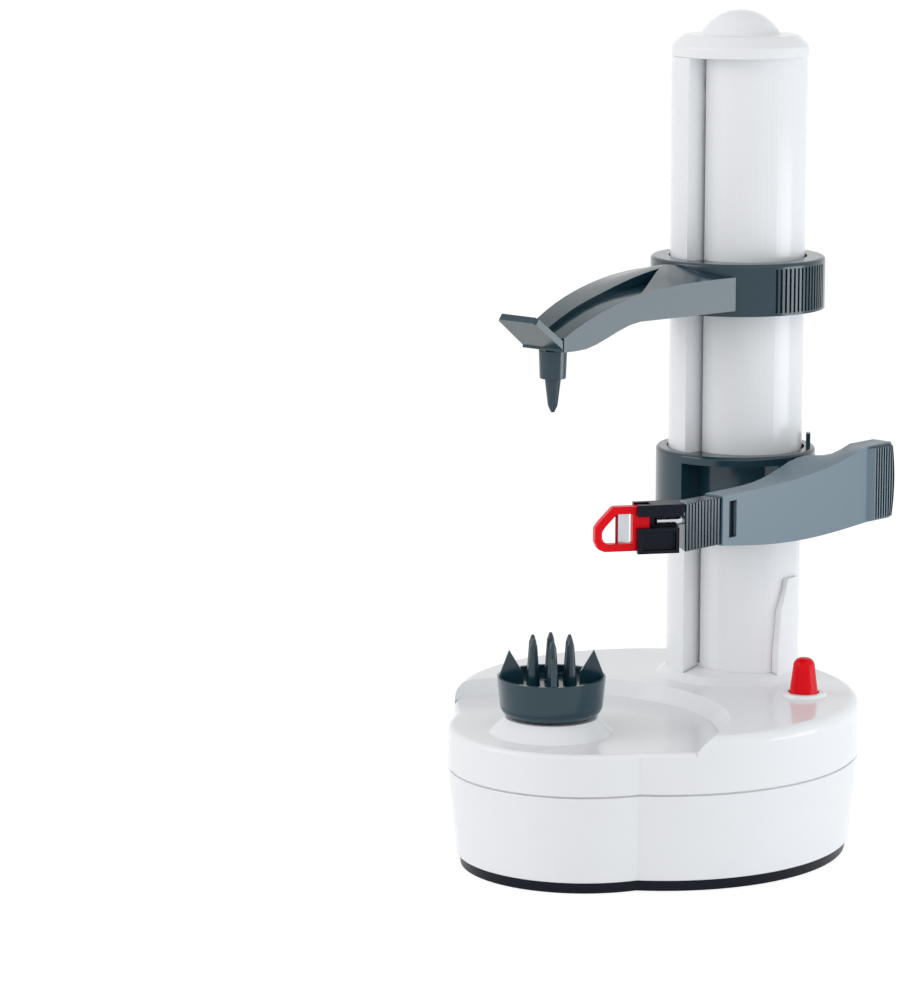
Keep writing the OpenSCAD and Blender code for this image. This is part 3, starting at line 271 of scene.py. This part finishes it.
def shape_lever(bm):
    """Even top on the lever, and wide grooves and a bowed end on its thumb pad."""
    # The lever's inner and outer face, and its thumb pad's start and end
    inner, outer = 42.0, 50.0
    pad_start, pad_end = 14.0, 29.0
    bow, bow_length, bow_cuts = 1.5, 5, 8
    first_groove, last_groove, pitch = 16.4, pad_end - 0.9, 1.45
    # Where a groove's sides are in its pitch, how far each moves out, and how much deeper its floor gets
    side_a, side_b, out_a, out_b = 0.45, 0.85, 0.08, 0.1
    near, deeper = 0.03, 0.4
    # Heights over outer where the pad, its side and its ridges begin, and the top of a groove's floor
    pad_foot, pad_side, ridge_foot, floor_top = outer + 0.05, outer + 0.5, outer + 1.0, outer + 1.4
    # The lever's rounded end keeps its own top
    even_end = pad_end - 1.5

    even_top(bm, inner, outer, even_end)
    pad = [v.co.z / MM for v in bm.verts if v.co.x / MM > pad_side and v.co.y / MM > pad_start]
    low, high = min(pad), max(pad)
    for i in range(1, bow_cuts):
        cut(bm, Z, low + (high - low) * i / bow_cuts, lambda c: c.y > pad_end - bow_length)
    for v in bm.verts:
        x, y, z = v.co / MM
        if x > ridge_foot and first_groove < y < last_groove:
            part = (y - first_groove) / pitch % 1
            if abs(part - side_a) < near:
                v.co.y -= out_a * pitch * MM
            if abs(part - side_b) < near:
                v.co.y += out_b * pitch * MM
            if x < floor_top:
                v.co.x -= deeper * MM
        if x > pad_foot:
            from_middle = 2 * (z - low) / (high - low) - 1
            v.co.y -= bow * from_middle ** 2 * ramp(y, pad_end - bow_length, pad_end) * MM


def shape_arm(bm):
    """Crest along the arm's back that rises towards the ring."""
    # The crest's height, and in shares of the arm's length its start, its end, its highest and lowest place
    crest, start, end, highest, lowest = 3.4, 0.03, 0.75, 0.1, 0.68
    # In half widths across the arm, where the crest is full and where it falls again, and what the fall takes
    full, fall, taken = -0.1, -0.3, 0.75
    # Distance from the column's axis and half width of the arm at its root and its tip
    root, tip, root_half, tip_half = 25.2, 105.0, 20.0, 9.7
    # Height of the back at the root, how far it drops to the tip, and what still counts as the back
    top, drop, under, over = 206.8, 15, 0.3, 1
    back_start, back_end, back_low = -27, -82, 198
    for place in range(-15, 0, 4):
        cut(bm, X, place, lambda c: back_end < c.y < back_start and c.z > back_low)
    for v in bm.verts:
        x, y, z = v.co / MM
        t = (-y - root) / (tip - root)
        on_back = top - drop * t ** 3 - under < z < top + over
        if not start < t < end or not on_back:
            continue
        half = root_half + (tip_half - root_half) * t
        across = ramp(x, half, full * half) * (1 - taken * ramp(x, fall * half, -half))
        v.co.z += crest * ramp(t, lowest, highest) * across * MM


def shape_screws(bm):
    """Cross recess in the head of each screw."""
    half, reach, depth, taper = 0.45, 1.5, 0.9, 0.15
    near = 0.01
    low = min(v.co.z for v in bm.verts) / MM + near
    middles = [f.calc_center_median() / MM for f in bm.faces]
    for middle in [c for c in middles if c.z < low]:

        def underside(c):
            return c.z < low and (c - middle).length < 2 * reach

        def in_cross(c):
            short, long = sorted((abs(c.x - middle.x), abs(c.y - middle.y)))
            return underside(c) and short < half and long < reach

        for axis in (X, Y):
            for step in (-reach, -half, half, reach):
                cut(bm, axis, middle[axis] + step, underside)
        faces = [f for f in bm.faces if in_cross(f.calc_center_median() / MM)]
        bmesh.ops.inset_region(
            bm, faces=faces, thickness=taper * MM, depth=-depth * MM, use_even_offset=True
        )


SHAPE = {"peeling_lever": shape_lever, "holder_arm": shape_arm, "housing_screws": shape_screws}


# Softened copies of the pieces that show


def keep(obj, node):
    """Puts a new piece in the place of a CAD node."""
    scene.collection.objects.link(obj)
    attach(obj, body_of[node])
    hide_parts(node)
    finish(obj, slot_of[node])


def smooth(mesh, angle):
    mesh.shade_smooth()
    mesh.set_sharp_from_angle(angle=math.radians(angle))


def crease(mesh):
    """Marks the upright inner corners of the base, where its two rounds meet, as sharp."""
    least, steep = math.radians(9), 0.9
    bm = bmesh.new()
    bm.from_mesh(mesh)
    for e in bm.edges:
        a, b = (v.co for v in e.verts)
        upright = abs(a.z - b.z) > steep * (a - b).length
        if upright and len(e.link_faces) == 2 and e.calc_face_angle_signed() < -least:
            e.smooth = False
    bm.to_mesh(mesh)
    bm.free()


def soften(node, width):
    """Puts a copy with rounded edges, and with its own shape if it has one, in the place of a CAD node."""
    weld, flat, corner = 0.002, 0.4, 32
    mesh = nodes[node].data.copy()
    bm = bmesh.new()
    bm.from_mesh(mesh)
    bmesh.ops.remove_doubles(bm, verts=bm.verts, dist=weld * MM)
    bmesh.ops.dissolve_limit(bm, angle_limit=math.radians(flat), verts=bm.verts, edges=bm.edges)
    if node in SHAPE:
        bm.normal_update()
        SHAPE[node](bm)
    bm.to_mesh(mesh)
    bm.free()
    if "sharp_edge" in mesh.attributes:
        mesh.attributes.remove(mesh.attributes["sharp_edge"])
    smooth(mesh, corner)
    if node in CREASED:
        crease(mesh)
    obj = bpy.data.objects.new("soft_" + node, mesh)
    keep(obj, node)
    bevel = obj.modifiers.new("edge", "BEVEL")
    bevel.width = width * MM
    bevel.segments = 2
    bevel.limit_method = "ANGLE"
    bevel.angle_limit = math.radians(corner)
    bevel.use_clamp_overlap = True
    even = obj.modifiers.new("even", "WEIGHTED_NORMAL")
    even.keep_sharp = True


CREASED = ("lower_housing", "upper_housing", "sole")
# Width of each piece's rounded edges
SOFT = {
    "lower_housing": 0.35, "upper_housing": 0.35, "sole": 0.4, "battery_door": 0.3, "rubber_pads": 0.3,
    "column_shell": 0.4, "column_core": 0.25, "column_cap": 0.4, "food_cup": 0.3, "power_button": 0.25,
    "carriage_ring": 0.4, "holder_arm": 0.45, "peeling_lever": 0.45, "blade_lock": 0.2,
    "blade_frame": 0.25, "blade_guard": 0.6, "food_pin": 0.25, "housing_screws": 0.12,
}
for node, width in SOFT.items():
    soften(node, width)


# Button's spring, as a smooth-shaded copy on its body; the real spring shortens under the button

spring = bpy.data.objects.new("coil_button_spring", nodes["button_spring"].data.copy())
smooth(spring.data, angle=40)
keep(spring, "button_spring")
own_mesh(spring)


# Dark plates painted in as the shade in the blade frame's window and in the lever's slot


def axes_at(place, turn):
    """Axes at a place, turned about the upright by degrees."""
    return Matrix.Translation(Vector(place) * MM) @ Matrix.Rotation(math.radians(turn), 4, "Z")


def painted_shade_plate(name, size, axes, node):
    """Thin dished plate in a window of a node, black as painted shade for the hollow behind it; axes puts it
    there with its second axis facing out.
    """
    rim, dish, edge = 0.5, 0.3, 0.05
    bm = bmesh.new()
    bmesh.ops.create_cube(bm, size=1, matrix=Matrix.Diagonal((*(n * MM for n in size), 1)))
    outer = max(bm.faces, key=lambda f: f.calc_center_median().y)
    bmesh.ops.inset_region(bm, faces=[outer], thickness=rim * MM)
    bmesh.ops.translate(bm, verts=outer.verts, vec=(0, -dish * size[Y] * MM, 0))
    bmesh.ops.bevel(bm, geom=bm.edges[:], offset=edge * MM, segments=2, affect="EDGES")
    bmesh.ops.transform(bm, verts=bm.verts, matrix=axes)
    mesh = bpy.data.meshes.new(name)
    bm.to_mesh(mesh)
    bm.free()
    obj = bpy.data.objects.new(name, mesh)
    scene.collection.objects.link(obj)
    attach(obj, body_of[node])
    # The blade frame's black finish paints the shade of the hollow
    finish(obj, slot_of["blade_frame"])


blade_head = axes_at((46, -84.4, 128), -125)
window, window_size = blade_head @ axes_at((8.96, 2.7, -4.08), 0), (11.8, 0.7, 6.3)
lever_slot, slot_size = axes_at((48.5, -61.5, 128), -90), (3.9, 0.5, 12.9)
painted_shade_plate("frame_window_painted_shade", window_size, window, "blade_frame")
painted_shade_plate("lever_slot_painted_shade", slot_size, lever_slot, "peeling_lever")


# Studio


def area(name, place, target, size, power, color=(1, 1, 1)):
    lamp = bpy.data.lights.new(name, "AREA")
    lamp.shape = "RECTANGLE"
    lamp.size, lamp.size_y = size
    lamp.energy = power
    lamp.color = color
    obj = bpy.data.objects.new(name, lamp)
    obj.location = place
    obj.rotation_euler = (Vector(target) - Vector(place)).to_track_quat("-Z", "Y").to_euler()
    obj.visible_camera = False
    scene.collection.objects.link(obj)


def seen_ray(tree):
    """1 for rays of the camera, of reflections and of what is seen through a surface, 0 for other light."""
    path = tree.nodes.new("ShaderNodeLightPath")
    value = path.outputs["Is Camera Ray"]
    for kind in ("Is Glossy Ray", "Is Transmission Ray"):
        both = tree.nodes.new("ShaderNodeMath")
        both.operation = "MAXIMUM"
        tree.links.new(value, both.inputs[0])
        tree.links.new(path.outputs[kind], both.inputs[1])
        value = both.outputs[0]
    return value


def pale_world(horizon, zenith):
    """White to look at; as a light, brighter near the horizon than overhead."""
    world = bpy.data.worlds.new("studio")
    scene.world = world
    world.use_nodes = True
    tree = world.node_tree
    back = tree.nodes["Background"]
    place = tree.nodes.new("ShaderNodeTexCoord")
    split = tree.nodes.new("ShaderNodeSeparateXYZ")
    tree.links.new(place.outputs["Generated"], split.inputs["Vector"])
    rise = tree.nodes.new("ShaderNodeMapRange")
    tree.links.new(split.outputs["Z"], rise.inputs["Value"])
    rise.inputs["To Min"].default_value = horizon
    rise.inputs["To Max"].default_value = zenith
    strength = tree.nodes.new("ShaderNodeMix")
    tree.links.new(seen_ray(tree), strength.inputs["Factor"])
    tree.links.new(rise.outputs["Result"], strength.inputs["A"])
    strength.inputs["B"].default_value = 1.0
    back.inputs["Color"].default_value = (1, 1, 1, 1)
    tree.links.new(strength.outputs["Result"], back.inputs["Strength"])


def floor(radius, gap, glow, shade):
    """White to look at apart from the object's soft shadow; to the light, a pale matt board.

    It lies a little under the object, by gap, so that it doesn't share a face with the sole.
    """
    bpy.ops.mesh.primitive_circle_add(vertices=96, radius=radius, fill_type="NGON")
    disc = bpy.context.object
    disc.name = "floor"
    disc.location.z = -gap
    m = Nodes("floor")
    soft = m.clouds(per_metre=3, detail=2)
    m.feed(m.mix(soft, (0.88, 0.88, 0.885, 1), (0.9, 0.9, 0.905, 1)), "Base Color")
    m.set(Roughness=0.6)
    look = m.add("ShaderNodeAddShader")
    paint = m.add("ShaderNodeBsdfDiffuse")
    paint.inputs["Color"].default_value = (shade, shade, shade, 1)
    light = m.add("ShaderNodeEmission")
    light.inputs["Strength"].default_value = glow
    m.link(paint.outputs[0], look.inputs[0])
    m.link(light.outputs[0], look.inputs[1])
    either = m.add("ShaderNodeMixShader")
    m.link(seen_ray(m.tree), either.inputs[0])
    m.link(m.shader.outputs[0], either.inputs[1])
    m.link(look.outputs[0], either.inputs[2])
    m.link(either.outputs[0], m.tree.nodes["Material Output"].inputs["Surface"])
    disc.data.materials.append(m.material)


pale_world(horizon=0.8, zenith=0.58)
floor(radius=3, gap=0.0002, glow=0.82, shade=0.34)
centre = (0, -0.05, 0.13)
column = (0.015, -0.04, 0.19)
area("key", (-0.75, -1.3, 0.8), centre, size=(1.0, 1.0), power=7)
area("panel", (0.548, 0.277, 0.1), column, size=(0.38, 0.18), power=0.95, color=(0.88, 0.96, 1.0))
area("fill", (1.3, -0.5, 1.1), centre, size=(1.8, 1.8), power=3.5)


# Camera at the photograph's viewpoint; its sensor spans the photograph's height

SENSOR = 36
PHOTO_HEIGHT = 1000
FOCAL_PIXELS = 3869.8
camera = bpy.data.objects.new("camera", bpy.data.cameras.new("camera"))
scene.collection.objects.link(camera)
camera.location = (0.89526, -1.08600, 0.37429)
yaw, pitch = math.radians(43.694), math.radians(10.253)
camera.rotation_euler = (math.pi / 2 - pitch, 0, yaw)
camera.data.sensor_width = SENSOR
camera.data.lens = FOCAL_PIXELS * SENSOR / PHOTO_HEIGHT
scene.camera = camera
scene.view_settings.view_transform = "Standard"
